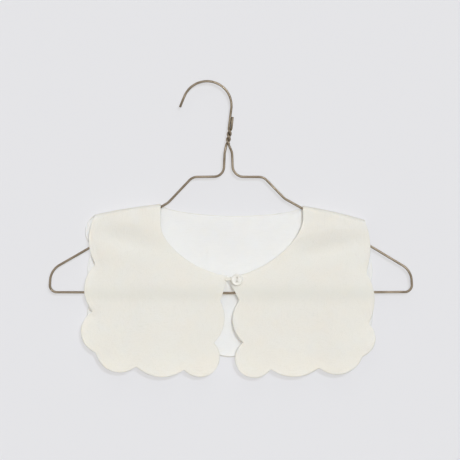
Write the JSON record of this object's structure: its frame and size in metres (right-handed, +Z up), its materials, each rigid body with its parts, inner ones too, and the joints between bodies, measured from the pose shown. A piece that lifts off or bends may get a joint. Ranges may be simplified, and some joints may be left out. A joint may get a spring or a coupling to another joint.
{
  "type": "scalloped collar on a wire hanger",
  "caption": "Detachable cream cloth collar with a scalloped edge and a front button, hanging on a plain wire hanger.",
  "frame": {"origin": "underside of the hook's top, where the hook rests on a rail", "axes": "+Z up, the front faces -Y, +X to the viewer's right"},
  "size_m": [0.3644, 0.017, 0.2978],
  "materials": {
    "hanger_wire": "satin, bronze brown",
    "cream_cloth": "matte, plain fine weave",
    "white_lining": "matte, plain fine weave",
    "button": "soft gloss",
    "cream_thread": "matte"
  },
  "bodies": {
    "root": {"hanger": "hanger_wire", "front_left": "cream_cloth", "front_right": "cream_cloth", "back": "cream_cloth", "back_lining": "white_lining", "button": "button", "button_thread": "cream_thread", "button_loop": "cream_thread"}
  },
  "joints": []
}
